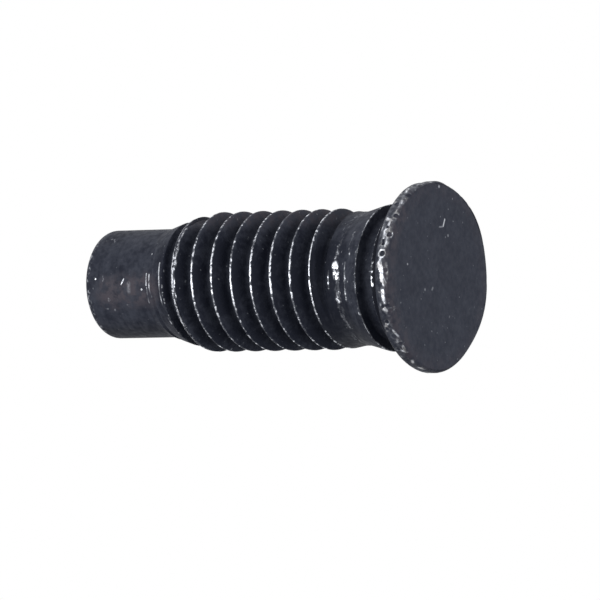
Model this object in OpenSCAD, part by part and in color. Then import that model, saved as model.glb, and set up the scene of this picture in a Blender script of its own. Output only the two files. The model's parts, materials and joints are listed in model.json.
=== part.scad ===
// Flush-head self-clinching stud with an M6 thread and a plain dog point.
// It stands on its flat head: the face of the head lies on z = 0 and the shank rises along +Z.

/* [Head] */
// Diameter of the flat head
head_d = 8.0; // [7.8:0.1:10]
// Thickness of the head
head_t = 0.66; // [0.5:0.02:1.5]
// Radius of the two roundings on the rim of the head
rim_round = 0.18; // [0.05:0.01:0.24]

/* [Clinching features] */
// Diameter of the collar that fills the hole in the sheet
collar_d = 6.3; // [6.2:0.05:6.5]
// Length of the collar above the head
collar_l = 0.68; // [0.4:0.02:2]
// Number of ribs that stop the stud from turning in the sheet
rib_count = 12; // [6:1:16]
// Width of a rib
rib_w = 0.3; // [0.15:0.05:0.5]
// Reach of a rib beyond the collar
rib_reach = 0.45; // [0.2:0.05:0.55]
// Height of a rib at the collar
rib_h = 0.24; // [0.1:0.02:0.36]
// Diameter at the floor of the relief groove that takes the sheet's metal
relief_d = 5.4; // [4.9:0.05:5.6]
// Width of the relief groove
relief_l = 0.8; // [0.4:0.02:1.5]
// Length of the sloping end wall on each side of the relief groove
relief_slope_l = 0.1; // [0.02:0.01:0.18]
// Diameter at the edge of the lip beyond the relief groove
lip_d = 6.24; // [6.06:0.02:6.4]
// Length of the cone from the lip down to the neck
lip_l = 1.06; // [0.5:0.02:2]

/* [Neck] */
// Diameter of the plain neck between the lip and the thread
neck_d = 5.68; // [5.3:0.02:5.9]
// Length of the plain neck
neck_l = 0.52; // [0.2:0.02:3]
// Length over which the thread's crests rise from the neck to full height
rise_l = 0.9; // [0.5:0.05:2]

/* [Thread] */
// Major diameter of the right-hand thread
thread_d = 6.0; // [5.95:0.01:6.2]
// Pitch of the thread
pitch = 1.0; // [0.75:0.05:1.25]
// Length of the thread at full height
thread_l = 6.56; // [3:0.02:20]
// Length of the lead-in cone between the thread and the dog point
lead_l = 2.08; // [1:0.02:3]
// Part of a turn over which the groove fades out at the neck
fade_turns = 0.43; // [0.2:0.01:0.8]
// Direction in which the thread groove starts at the neck
start_angle = 178; // [0:2:358]

/* [Dog point] */
// Diameter of the dog point
dog_d = 4.67; // [4:0.01:4.75]
// Length of the dog point
dog_l = 3.31; // [1:0.01:8]
// Radius of the rounding on the end of the dog point
end_round = 0.34; // [0.1:0.02:1]

/* [Hidden] */

$fn = 96;
steel = [0.2, 0.21, 0.24];
overlap = 0.1;

// Heights of the stations along the axis, from the face of the head upwards
z_collar = head_t + collar_l;
z_lip = z_collar + relief_l;
z_neck = z_lip + lip_l;
z_rise = z_neck + neck_l;
z_thread = z_rise + rise_l;
z_lead = z_thread + thread_l;
z_dog = z_lead + lead_l;
z_end = z_dog + dog_l;

// Thread form: 60 degree flanks, a crest flat of an eighth of the pitch and the standard depth
flank_angle = 30;
crest_flat = pitch / 8;
thread_depth = 17 / 24 * pitch * cos(flank_angle);
root_r = thread_d / 2 - thread_depth;
root_flat = pitch - crest_flat - 2 * thread_depth * tan(flank_angle);

// The cutter reaches a little past the crests, but not so far that its turns meet
cutter_out = 0.3 * crest_flat / tan(flank_angle);
steps_per_turn = 36;
groove_turns = (z_dog - z_rise) / pitch + 0.3;
groove_steps = ceil(groove_turns * steps_per_turn);

// How far the cutter stands back at a given number of turns: its full depth at the start, then none
function setback(turns) = (thread_depth + overlap) * max(0, 1 - turns / fade_turns);

// Corners of the cutter's section as radius and height, root side first
function cutter_section(back, z) =
    let (
        inner_r = root_r + back,
        outer_r = thread_d / 2 + cutter_out + back,
        inner_half = root_flat / 2,
        outer_half = inner_half + (outer_r - inner_r) * tan(flank_angle)
    )
    [[inner_r, z - inner_half], [outer_r, z - outer_half], [outer_r, z + outer_half], [inner_r, z + inner_half]];

// The section turned to its place on the helix
function cutter_ring(step) =
    let (
        turns = step / steps_per_turn,
        angle = start_angle + 360 * turns,
        section = cutter_section(setback(turns), z_rise + pitch * turns)
    )
    [for (corner = section) [corner[0] * cos(angle), corner[0] * sin(angle), corner[1]]];

// Two triangles for each side of the cutter between one ring and the next
function side_faces(step) = [
    for (corner = [0:3])
        let (
            next = (corner + 1) % 4,
            a = 4 * step + corner,
            b = 4 * step + next,
            c = b + 4,
            d = a + 4
        )
        each [[a, b, c], [a, c, d]]
];

module thread_groove() {
    points = [for (step = [0:groove_steps]) each cutter_ring(step)];
    last = 4 * groove_steps;
    start_cap = [[3, 2, 1], [3, 1, 0]];
    end_cap = [[last, last + 1, last + 2], [last, last + 2, last + 3]];
    sides = [for (step = [0:groove_steps - 1]) each side_faces(step)];
    polyhedron(points, concat(start_cap, sides, end_cap), convexity = 20);
}

// Half section of the head, with both edges of its rim rounded
module head_outline() {
    core_r = head_d / 2 - rim_round;
    square([core_r, head_t]);
    translate([0, rim_round])
        square([head_d / 2, head_t - 2 * rim_round]);
    for (z = [rim_round, head_t - rim_round])
        translate([core_r, z])
            intersection() {
                circle(rim_round);
                translate([0, -rim_round])
                    square([rim_round, 2 * rim_round]);
            }
}

// Half section of the shank from the collar to the start of the dog point
module shank_outline() {
    polygon([
        [0, head_t - overlap],
        [collar_d / 2, head_t - overlap],
        [collar_d / 2, z_collar],
        [relief_d / 2, z_collar + relief_slope_l],
        [relief_d / 2, z_lip - relief_slope_l],
        [lip_d / 2, z_lip],
        [neck_d / 2, z_neck],
        [neck_d / 2, z_rise],
        [thread_d / 2, z_thread],
        [thread_d / 2, z_lead],
        [dog_d / 2, z_dog],
        [0, z_dog]
    ]);
}

// Half section of the dog point, with its end edge rounded
module dog_outline() {
    core_r = dog_d / 2 - end_round;
    translate([0, z_dog - overlap])
        square([dog_d / 2, dog_l + overlap - end_round]);
    translate([0, z_dog])
        square([core_r, dog_l]);
    translate([core_r, z_end - end_round])
        intersection() {
            circle(end_round);
            square(end_round);
        }
}

module blank() {
    rotate_extrude() {
        head_outline();
        shank_outline();
        dog_outline();
    }
}

// One gusset between the collar and the inner side of the head
module rib() {
    rotate([90, 0, 0])
        linear_extrude(height = rib_w, center = true)
            polygon([
                [collar_d / 2 - overlap, head_t - overlap],
                [collar_d / 2 + rib_reach, head_t - overlap],
                [collar_d / 2 + rib_reach, head_t],
                [collar_d / 2, head_t + rib_h],
                [collar_d / 2 - overlap, head_t + rib_h]
            ]);
}

module ribs() {
    for (i = [0:rib_count - 1])
        rotate([0, 0, 360 * i / rib_count])
            rib();
}

module stud() {
    color(steel) {
        difference() {
            blank();
            thread_groove();
        }
        ribs();
    }
}

stud();
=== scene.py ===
import json
import math
import random
from types import SimpleNamespace

import bmesh
import bpy
from bpy.props import FloatProperty, FloatVectorProperty, IntProperty, PointerProperty
from bpy.types import Operator, Panel, PropertyGroup
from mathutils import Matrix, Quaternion, Vector


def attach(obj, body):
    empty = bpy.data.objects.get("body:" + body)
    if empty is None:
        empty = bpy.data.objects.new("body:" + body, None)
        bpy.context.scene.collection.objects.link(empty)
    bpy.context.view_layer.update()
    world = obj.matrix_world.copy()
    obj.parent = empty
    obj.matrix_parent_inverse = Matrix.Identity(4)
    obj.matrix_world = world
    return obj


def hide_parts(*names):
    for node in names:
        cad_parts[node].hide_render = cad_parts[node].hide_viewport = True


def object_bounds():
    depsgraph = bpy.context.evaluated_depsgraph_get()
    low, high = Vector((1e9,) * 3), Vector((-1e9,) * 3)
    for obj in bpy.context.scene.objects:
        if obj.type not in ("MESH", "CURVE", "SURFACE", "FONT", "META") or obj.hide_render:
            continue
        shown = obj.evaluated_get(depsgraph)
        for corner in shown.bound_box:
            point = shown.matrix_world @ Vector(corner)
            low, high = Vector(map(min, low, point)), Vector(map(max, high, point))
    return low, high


bl_info = {
    "name": "Self-clinching stud",
    "version": (1, 0, 0),
    "blender": (4, 5, 0),
    "location": "3D View > Sidebar > Stud",
    "description": "Builds a blackened M6 self-clinching stud and the stage it stands on",
    "category": "Object",
}

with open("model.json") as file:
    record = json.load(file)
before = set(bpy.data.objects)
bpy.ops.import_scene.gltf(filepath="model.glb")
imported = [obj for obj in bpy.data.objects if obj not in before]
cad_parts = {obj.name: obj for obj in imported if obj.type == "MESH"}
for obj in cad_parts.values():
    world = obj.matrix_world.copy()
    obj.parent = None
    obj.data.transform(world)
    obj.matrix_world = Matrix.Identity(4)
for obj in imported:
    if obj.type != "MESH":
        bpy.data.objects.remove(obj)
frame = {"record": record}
CAD_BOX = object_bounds()

MM = 0.001
TURN = 2 * math.pi
MOUNTS = {mount["name"]: mount for mount in frame["record"]["mounts"]}


def mount_radius(name):
    return MOUNTS[name]["dims"]["r_mm"] * MM


def mount_length(name):
    return MOUNTS[name]["dims"]["length_mm"] * MM


def mount_middle(name):
    return MOUNTS[name]["pos_m"][2]


# Properties


def length_property(name, description, default):
    """A length in metres, shown in the scene's own unit."""
    return FloatProperty(
        name=name,
        description=description,
        default=default,
        min=0,
        unit="LENGTH",
        subtype="DISTANCE",
        precision=6,
    )


def angle_property(name, description, degrees):
    """An angle, given here in degrees."""
    return FloatProperty(
        name=name,
        description=description,
        default=math.radians(degrees),
        unit="ROTATION",
        subtype="ANGLE",
    )


def colour_property(name, description, default):
    """A colour in linear light."""
    return FloatVectorProperty(
        name=name,
        description=description,
        default=default,
        size=3,
        min=0,
        max=1,
        subtype="COLOR",
    )


class StudSizes(PropertyGroup):
    """Sizes of the stud, the main ones taken from the frame."""

    head_radius: length_property("Head radius", "Radius of the flat head", CAD_BOX[1].x)
    head_thickness: length_property("Head thickness", "Thickness of the head", 0.66 * MM)
    rim_round: length_property("Rim rounding", "Radius of the roundings on the rim", 0.18 * MM)
    collar_radius: length_property("Collar radius", "Radius of the collar", mount_radius("clinch_collar"))
    collar_length: length_property("Collar length", "Length of the collar", mount_length("clinch_collar"))
    relief_radius: length_property("Relief radius", "Radius at the relief groove's floor", 2.7 * MM)
    relief_length: length_property("Relief length", "Width of the relief groove", 0.8 * MM)
    relief_slope: length_property("Relief slope", "Length of the groove's sloping walls", 0.1 * MM)
    lip_radius: length_property("Lip radius", "Radius at the edge of the lip", 3.12 * MM)
    lip_length: length_property("Lip length", "Length of the cone from lip to neck", 1.06 * MM)
    neck_radius: length_property("Neck radius", "Radius of the plain neck", 2.84 * MM)
    neck_length: length_property("Neck length", "Length of the plain neck", 0.52 * MM)
    thread_radius: length_property("Thread radius", "Radius at the crests", mount_radius("thread"))
    thread_length: length_property("Thread length", "Length at full height", mount_length("thread"))
    thread_middle: length_property("Thread middle", "Height of the thread's middle", mount_middle("thread"))
    pitch: length_property("Pitch", "Pitch of the right-hand thread", 1.0 * MM)
    fade_turns: FloatProperty(name="Fade", description="Turns over which the groove fades", default=0.43)
    start_angle: angle_property("Start", "Direction in which the thread groove starts", 178)
    dog_radius: length_property("Dog radius", "Radius of the dog point", mount_radius("dog_point"))
    dog_length: length_property("Dog length", "Length of its straight part", mount_length("dog_point"))
    end_round: length_property("End rounding", "Radius of the rounding on the end", 0.34 * MM)
    overall_length: length_property("Overall length", "Length from face to end", CAD_BOX[1].z)
    rib_count: IntProperty(name="Ribs", description="Number of ribs under the head", default=12)
    rib_width: length_property("Rib width", "Width of a rib", 0.3 * MM)
    rib_reach: length_property("Rib reach", "Reach of a rib beyond the collar", 0.45 * MM)
    rib_height: length_property("Rib height", "Height of a rib at the collar", 0.24 * MM)


class StudFinish(PropertyGroup):
    """Colours of the stud's surface."""

    oxide_dark: colour_property("Oxide, dark", "Thick black oxide", (0.016, 0.0185, 0.029))
    oxide_light: colour_property("Oxide, light", "Thin black oxide", (0.05, 0.055, 0.073))
    # Near-black colour of the painted deep shade: under the head, at the thread's run-out and on the low
    # sides of the neck and the dog point
    sooty: colour_property("Oxide, sooty", "Oxide that nothing has touched", (0.004, 0.005, 0.009))
    # The brown also serves as painted light on the thread's top side and on the dog point's front
    brown: colour_property("Brown tint", "Brown stain in the oxide", (0.073, 0.066, 0.079))
    bare: colour_property("Bare metal", "Steel that the oxide has rubbed off", (0.6, 0.62, 0.67))
    dull: colour_property("Dull metal", "Bare steel that has dulled again", (0.24, 0.24, 0.25))


class StageSettings(PropertyGroup):
    """Camera and floor."""

    camera_azimuth: angle_property("Azimuth", "Direction of the camera round the stud", -0.69)
    camera_elevation: angle_property("Elevation", "Camera's height as an angle", -33.24)
    camera_roll: angle_property("Roll", "Turn that lays the stud across the picture", -91.26)
    camera_distance: length_property("Distance", "Distance from the camera to its aim", 289.64 * MM)
    camera_lens: FloatProperty(name="Lens", description="Focal length in millimetres", default=408.13)
    aim_side: FloatProperty(
        name="Aim, side",
        description="Sideways place of the aim",
        default=-0.843 * MM,
        unit="LENGTH",
    )
    aim_height: length_property("Aim, height", "Height of the camera's aim", 6.94 * MM)
    floor_size: length_property("Floor", "Radius of the floor", 0.6)
    floor_colour: colour_property("Floor colour", "Colour of the floor", (0.82, 0.82, 0.82))


# Mesh helpers: a bmesh is in millimetres until its piece is finished


# Vertices closer than this count as one
TOUCHING = 1e-4
CUT_TOLERANCE = 1e-5
SMOOTH_DEGREES = 40
FLANK_ANGLE = math.radians(30)
# Standard depth of a thread, as a share of the height of its sharp triangle
DEPTH_SHARE = 17 / 24


def in_millimetres(sizes):
    """The sizes as plain numbers in millimetres, and the stations along the axis."""
    values = {}
    for key in sizes.__annotations__:
        value = getattr(sizes, key)
        values[key] = value / MM if sizes.bl_rna.properties[key].unit == "LENGTH" else value
    size = SimpleNamespace(**values)
    size.collar_top = size.head_thickness + size.collar_length
    size.lip_z = size.collar_top + size.relief_length
    size.neck_low = size.lip_z + size.lip_length
    size.neck_high = size.neck_low + size.neck_length
    size.thread_low = size.thread_middle - size.thread_length / 2
    size.thread_high = size.thread_middle + size.thread_length / 2
    size.dog_low = size.overall_length - size.end_round - size.dog_length
    size.thread_depth = DEPTH_SHARE * size.pitch * math.cos(FLANK_ANGLE)
    size.root_radius = size.thread_radius - size.thread_depth
    return size


def wire(bm, corners):
    """A chain of edges through (radius, height) corners, and its vertices in order."""
    verts = [bm.verts.new((radius, 0, height)) for radius, height in corners]
    for first, second in zip(verts, verts[1:]):
        bm.edges.new((first, second))
    return verts


def round_corner(bm, vert, radius, segments):
    bmesh.ops.bevel(
        bm,
        geom=[vert],
        offset=radius,
        offset_type="OFFSET",
        segments=segments,
        profile=0.5,
        affect="VERTICES",
        material=-1,
    )


def divide_edges(bm, edges, spacing):
    """Divides straight edges so that none is much longer than the spacing."""
    for edge in edges:
        cuts = math.ceil(edge.calc_length() / spacing) - 1
        if cuts > 0:
            bmesh.ops.subdivide_edges(bm, edges=[edge], cuts=cuts)


def turn_on_lathe(bm, steps):
    """Spins everything in the bmesh once round Z."""
    bmesh.ops.spin(
        bm,
        geom=bm.verts[:] + bm.edges[:],
        cent=(0, 0, 0),
        axis=(0, 0, 1),
        angle=TURN,
        steps=steps,
        use_merge=True,
        use_duplicate=False,
    )
    bmesh.ops.remove_doubles(bm, verts=bm.verts[:], dist=TOUCHING)


def ring_edges(bm, height):
    """The open edges that lie at one height."""
    edges = [edge for edge in bm.edges if edge.is_boundary]
    return [edge for edge in edges if all(abs(vert.co.z - height) < TOUCHING for vert in edge.verts)]


def radius_of(point):
    return math.hypot(point.x, point.y)


def set_radius(vert, radius):
    """Moves a vertex straight out from or in towards the axis."""
    scale = radius / radius_of(vert.co)
    vert.co.x *= scale
    vert.co.y *= scale


def ramp(value, low, high):
    """0 below low, 1 above high, and smooth between them."""
    share = min(1, max(0, (value - low) / (high - low)))
    return share * share * (3 - 2 * share)


def near(value, place, inner, outer):
    """1 within the inner distance of a place, 0 beyond the outer one."""
    return 1 - ramp(abs(value - place), inner, outer)


def along(stations, place):
    """Straight lines through (place, value) stations, level beyond both ends."""
    for (low, first), (high, second) in zip(stations, stations[1:]):
        if place < high:
            return first + (second - first) * max(0, (place - low) / (high - low))
    return stations[-1][1]


def object_from(bm, name, material):
    """Makes a bmesh an object of the scene, with one material."""
    mesh = bpy.data.meshes.new(name)
    bm.to_mesh(mesh)
    bm.free()
    mesh.materials.append(material)
    made = bpy.data.objects.new(name, mesh)
    bpy.context.scene.collection.objects.link(made)
    return made


def finish_piece(bm, name, material):
    """Scales a bmesh to metres and makes it a piece of the object."""
    bmesh.ops.remove_doubles(bm, verts=bm.verts[:], dist=TOUCHING)
    bmesh.ops.recalc_face_normals(bm, faces=bm.faces[:])
    bmesh.ops.scale(bm, vec=(MM, MM, MM), verts=bm.verts[:])
    piece = object_from(bm, name, material)
    piece.data.polygons.foreach_set("use_smooth", [True] * len(piece.data.polygons))
    piece.data.set_sharp_from_angle(angle=math.radians(SMOOTH_DEGREES))
    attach(piece, "root")
    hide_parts("stud")
    return piece


# Thread


# The crest's flat is a share of the pitch, and the other sizes are in millimetres
CREST_FLAT = 1 / 8
CREST_ROUND = 0.05
ROOT_ROUND = 0.081
ROUND_SEGMENTS = 3
FLANK_SPACING = 0.1
THREAD_STEPS = 144
JOIN_GAP = 0.3
OVERLAP = 0.1
ENVELOPE_BLEND = 0.12


def one_pitch_wire(bm, size, height):
    """One pitch of the thread's outline, from the middle of a crest to the middle of the next."""
    half_crest = size.pitch * CREST_FLAT / 2
    flank = size.thread_depth * math.tan(FLANK_ANGLE)
    heights = [0, half_crest, half_crest + flank]
    heights += [size.pitch - z for z in reversed(heights)]
    radii = [size.thread_radius, size.thread_radius, size.root_radius]
    radii += list(reversed(radii))
    verts = wire(bm, [(radius, height + z) for radius, z in zip(radii, heights)])
    for vert in (verts[1], verts[4]):
        round_corner(bm, vert, CREST_ROUND, ROUND_SEGMENTS)
    for vert in (verts[2], verts[3]):
        round_corner(bm, vert, ROOT_ROUND, ROUND_SEGMENTS)
    divide_edges(bm, bm.edges[:], FLANK_SPACING)


def envelope(size, z):
    """Radius of the blank before the groove is rolled in, with softened corners."""
    stations = [
        (size.neck_high, size.neck_radius),
        (size.thread_low, size.thread_radius),
        (size.thread_high, size.thread_radius),
        (size.dog_low, size.dog_radius),
    ]
    samples = [z + share * ENVELOPE_BLEND for share in (-1, -0.5, 0, 0.5, 1)]
    return sum(along(stations, sample) for sample in samples) / len(samples)


def groove_place(size, vert):
    """Turns from the groove's start to its nearest place, and the height above that in pitches."""
    turned = (math.atan2(vert.co.y, vert.co.x) - size.start_angle) / TURN
    risen = (vert.co.z - size.neck_high) / size.pitch
    turns = turned + round(risen - turned)
    return turns, risen - turns


# How far the crests are rubbed in each direction round the stud, in degrees at the thread's middle; the rub
# is real wear, and its rise towards -Y is also a painted highlight where the front lamp's light falls
CREST_WEAR_AND_HIGHLIGHT = (
    (-180, 0.4),
    (-141, 0.27),
    (-131, 0.38),
    (-118, 0.6),
    (-106, 0.82),
    (-99, 1.0),
    (-88, 1.2),
    (-74, 1.05),
    (-64, 0.6),
    (-50, 0.4),
    (-37, 0.35),
    (0, 0.4),
    (40, 0.7),
    (75, 0.95),
    (110, 0.65),
    (150, 0.6),
    (180, 0.44),
)
# How far that pattern turns with height, in degrees per millimetre
WEAR_TWIST = 1.6
# The worn line along a whole crest, in pitches from the crest: its middle, how far it is whole, its reach
LINE_MIDDLE = 0.01
LINE_WHOLE = 0.03
LINE_ABOVE = 0.09
LINE_BELOW = 0.065
# The worn ridge left where the blank cuts a crest down: its rub, and how much less its middle has of it
RIDGE_RUB = 0.85
RIDGE_HOLLOW = 0.6
# Its edge and its middle, in millimetres by which the uncut thread stands out of the blank
RIDGE_EDGE = (-0.06, -0.01)
RIDGE_MIDDLE = (0.07, 0.12)
# From this wear to this the ridge's middle is rubbed as far as its edges
MIDDLE_WORN = (0.9, 1.1)
# From this cut to this, in millimetres, the line turns into a ridge
CUT_TO_RIDGE = (0.03, 0.08)
# Heights in millimetres: the middle of a stretch, how far it holds and how far it reaches
FIRST_TURN = (4.85, 0.3, 0.6)
FIRST_CREST = (4.5, 0.2, 0.6)
LEAD_CREST = (11.6, 0.25, 0.5)
# How much wider the line is on the first turn, and how much more its crest is rubbed
FIRST_WIDER = 0.45
FIRST_RUB = 0.35
# How much more the lead-in crest is rubbed: by its wear above a level, and towards +X
LEAD_BY_WEAR = 0.2
LEAD_WEAR_LEVEL = 0.85
LEAD_BY_SIDE = 0.5
LEAD_SIDE = (0.4, 1.4)
# How far the rub takes to set in above the neck, where it ends at the lead-in, and the fade that ends it
RUB_RISE = 0.3
RUB_END = (11.9, 12.4)
RUB_FADE = (0, 0.3)
# The lead-in crest's lower flank is drawn back to a ridge, by this many times the cut, up to a height
LEAD_RIDGE = 2.0
RIDGE_END = (11.75, 12.1)
# Where along X it stays whole instead: the share of it, and from where to where that sets in
STAYS_WHOLE = ((0.35, -1.2, -0.6), (0.45, 0.5, 1.0))
WHOLE_END = (2.2, 2.8)


def crest_rub(size, vert, beyond, gap, cut):
    """How far a place near a crest is rubbed bare.

    Beyond is its height above the crest in pitches, gap how far the uncut thread stands out of the blank
    there, and cut how far the blank cuts the crest down.
    """
    height = vert.co.z
    direction = math.degrees(math.atan2(vert.co.y, vert.co.x)) + WEAR_TWIST * (height - size.thread_middle)
    # The wear by direction also carries the painted highlight towards -Y
    wear = along(CREST_WEAR_AND_HIGHLIGHT, (direction + 180) % 360 - 180)
    wider = 1 + FIRST_WIDER * near(height, *FIRST_TURN)
    reach = (LINE_ABOVE if beyond > 0 else LINE_BELOW) * wider
    line = near(beyond, LINE_MIDDLE, LINE_WHOLE, reach)
    hollow = RIDGE_HOLLOW * (1 - ramp(wear, *MIDDLE_WORN))
    ridge = RIDGE_RUB * ramp(gap, *RIDGE_EDGE) * (1 - hollow * ramp(gap, *RIDGE_MIDDLE))
    share = ramp(cut, *CUT_TO_RIDGE)
    more = LEAD_BY_WEAR * (wear - LEAD_WEAR_LEVEL) + LEAD_BY_SIDE * ramp(vert.co.x, *LEAD_SIDE)
    return (line + (ridge - line) * share) * wear * (1 + near(height, *LEAD_CREST) * more)


def lead_ridge(vert, cut):
    """How far the lower flank of a crest on the lead-in cone is drawn back."""
    whole = sum(share * ramp(vert.co.x, low, high) for share, low, high in STAYS_WHOLE)
    whole *= 1 - ramp(vert.co.x, *WHOLE_END)
    return LEAD_RIDGE * (1 - whole) * cut * (1 - ramp(vert.co.z, *RIDGE_END))


def shape_thread(bm, size, rub):
    """Fades the groove out at the neck, cuts the crests to the blank and marks what is rubbed bare."""
    for vert in bm.verts:
        height = vert.co.z
        turns, above = groove_place(size, vert)
        beyond = above - math.copysign(0.5, above)
        fade = max(0, 1 - turns / size.fade_turns)
        groove_radius = radius_of(vert.co) + fade * (size.thread_depth + OVERLAP)
        blank_radius = envelope(size, height)
        cut = size.thread_radius - blank_radius
        if height > size.thread_high and beyond < 0:
            lowest = min(size.root_radius, groove_radius)
            groove_radius = max(lowest, groove_radius - lead_ridge(vert, cut))
        rubbed = crest_rub(size, vert, beyond, groove_radius - blank_radius, cut)
        rubbed *= 1 - ramp(fade, *RUB_FADE)
        rubbed *= 1 + FIRST_RUB * near(height, *FIRST_CREST)
        rubbed *= ramp(height, size.neck_high, size.neck_high + RUB_RISE) * (1 - ramp(height, *RUB_END))
        vert[rub] = rubbed
        set_radius(vert, min(groove_radius, blank_radius))


def thread_mesh(bm, size, rub):
    """The helical part of the shank, cut level on the neck and on the dog point."""
    crest_height = size.neck_high + size.pitch / 2 - size.pitch * size.start_angle / TURN
    low, high = size.neck_high - JOIN_GAP, size.dog_low + JOIN_GAP
    first = crest_height - size.pitch * math.ceil((crest_height - low) / size.pitch + 1)
    turns = math.ceil((high - first) / size.pitch) + 1
    one_pitch_wire(bm, size, first)
    bmesh.ops.spin(
        bm,
        geom=bm.verts[:] + bm.edges[:],
        cent=(0, 0, 0),
        axis=(0, 0, 1),
        dvec=(0, 0, size.pitch / THREAD_STEPS),
        angle=TURN,
        steps=THREAD_STEPS,
        use_merge=False,
        use_duplicate=False,
    )
    one_turn = bm.verts[:] + bm.edges[:] + bm.faces[:]
    for turn in range(1, turns):
        copied = bmesh.ops.duplicate(bm, geom=one_turn)["geom"]
        verts = [item for item in copied if isinstance(item, bmesh.types.BMVert)]
        bmesh.ops.translate(bm, vec=(0, 0, turn * size.pitch), verts=verts)
    bmesh.ops.remove_doubles(bm, verts=bm.verts[:], dist=TOUCHING)
    for height, outer in ((low, False), (high, True)):
        bmesh.ops.bisect_plane(
            bm,
            geom=bm.verts[:] + bm.edges[:] + bm.faces[:],
            dist=CUT_TOLERANCE,
            plane_co=(0, 0, height),
            plane_no=(0, 0, 1),
            clear_outer=outer,
            clear_inner=not outer,
        )
    shape_thread(bm, size, rub)
    return low, high


# Head and ends


HEAD_STEPS = 360
DOG_STEPS = 180
HEAD_SEGMENTS = 4
DOG_SEGMENTS = 8
RING_GAP = 0.03
# Spacing of the edges on the rim, the lip and the neck, elsewhere, and on the face
RIM_SPACING = 0.045
NECK_SPACING = 0.065
PLAIN_SPACING = 0.13
FACE_SPACING = 0.3
# How far in the rim's fine mesh reaches, and how far below its top the collar's edge starts
RIM_BAND = 0.5
COLLAR_EDGE = 0.1
# Softness of a rib's sides, the part of its reach that lies inside the collar, and the slack in its height
RIB_SOFTNESS = 0.04
RIB_INSIDE = 0.2
LEVEL_SLACK = 0.01


def head_end_wire(bm, size, top):
    """Outline from the middle of the head's face round the rim and the clinching features to the neck."""
    corners = [
        # Radius and height of each corner, and how far it is rounded
        (0, 0, 0),
        (size.head_radius, 0, size.rim_round),
        (size.head_radius, size.head_thickness, size.rim_round),
        (size.collar_radius, size.head_thickness, 0.05),
        (size.collar_radius, size.collar_top, 0.035),
        (size.relief_radius, size.collar_top + size.relief_slope, 0.07),
        (size.relief_radius, size.lip_z - size.relief_slope, 0.07),
        (size.lip_radius, size.lip_z, 0.03),
        (size.neck_radius, size.neck_low, 0.12),
        (size.neck_radius, top, 0),
    ]
    verts = wire(bm, [(radius, height) for radius, height, rounding in corners])
    for vert, (radius, height, rounding) in zip(verts, corners):
        if rounding:
            round_corner(bm, vert, rounding, HEAD_SEGMENTS)
    for edge in bm.edges[:]:
        middle = (edge.verts[0].co + edge.verts[1].co) / 2
        if middle.x > size.head_radius - RIM_BAND:
            spacing = RIM_SPACING
        elif middle.z > size.collar_top - COLLAR_EDGE and middle.x > size.relief_radius:
            spacing = NECK_SPACING
        elif middle.z < RIM_SPACING:
            spacing = FACE_SPACING
        else:
            spacing = PLAIN_SPACING
        divide_edges(bm, [edge], spacing)


def dog_end_wire(bm, size, bottom):
    """Outline from the thread's end up the dog point to the middle of its end."""
    corners = [
        (size.dog_radius, bottom),
        (size.dog_radius, size.overall_length),
        (0, size.overall_length),
    ]
    verts = wire(bm, corners)
    round_corner(bm, verts[1], size.end_round, DOG_SEGMENTS)
    divide_edges(bm, bm.edges[:], PLAIN_SPACING)


def raise_ribs(bm, size):
    """Lifts the head's inner side into low ribs that lean against the collar."""
    sector = TURN / size.rib_count
    half = size.rib_width / 2
    ceiling = size.collar_top - COLLAR_EDGE
    for vert in bm.verts:
        radius = radius_of(vert.co)
        reach = (radius - size.collar_radius) / size.rib_reach
        if not (-RIB_INSIDE < reach < 1 and size.head_thickness - LEVEL_SLACK < vert.co.z < ceiling):
            continue
        angle = math.atan2(vert.co.y, vert.co.x) % sector
        across = min(angle, sector - angle) * radius
        rib = ramp(-across, -half - RIB_SOFTNESS, -half + RIB_SOFTNESS)
        top = size.head_thickness + size.rib_height * (1 - max(0, reach))
        share = 1 - (vert.co.z - size.head_thickness) / (ceiling - size.head_thickness)
        vert.co.z += rib * share * (top - size.head_thickness)


def lathe_part(draw_wire, steps):
    """A lathe-turned part in a bmesh of its own."""
    part = bmesh.new()
    draw_wire(part)
    turn_on_lathe(part, steps)
    return part


def add_part(bm, part):
    """Moves a part's mesh into the piece's bmesh."""
    mesh = bpy.data.meshes.new("part")
    part.to_mesh(mesh)
    part.free()
    bm.from_mesh(mesh)
    bpy.data.meshes.remove(mesh)


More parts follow.
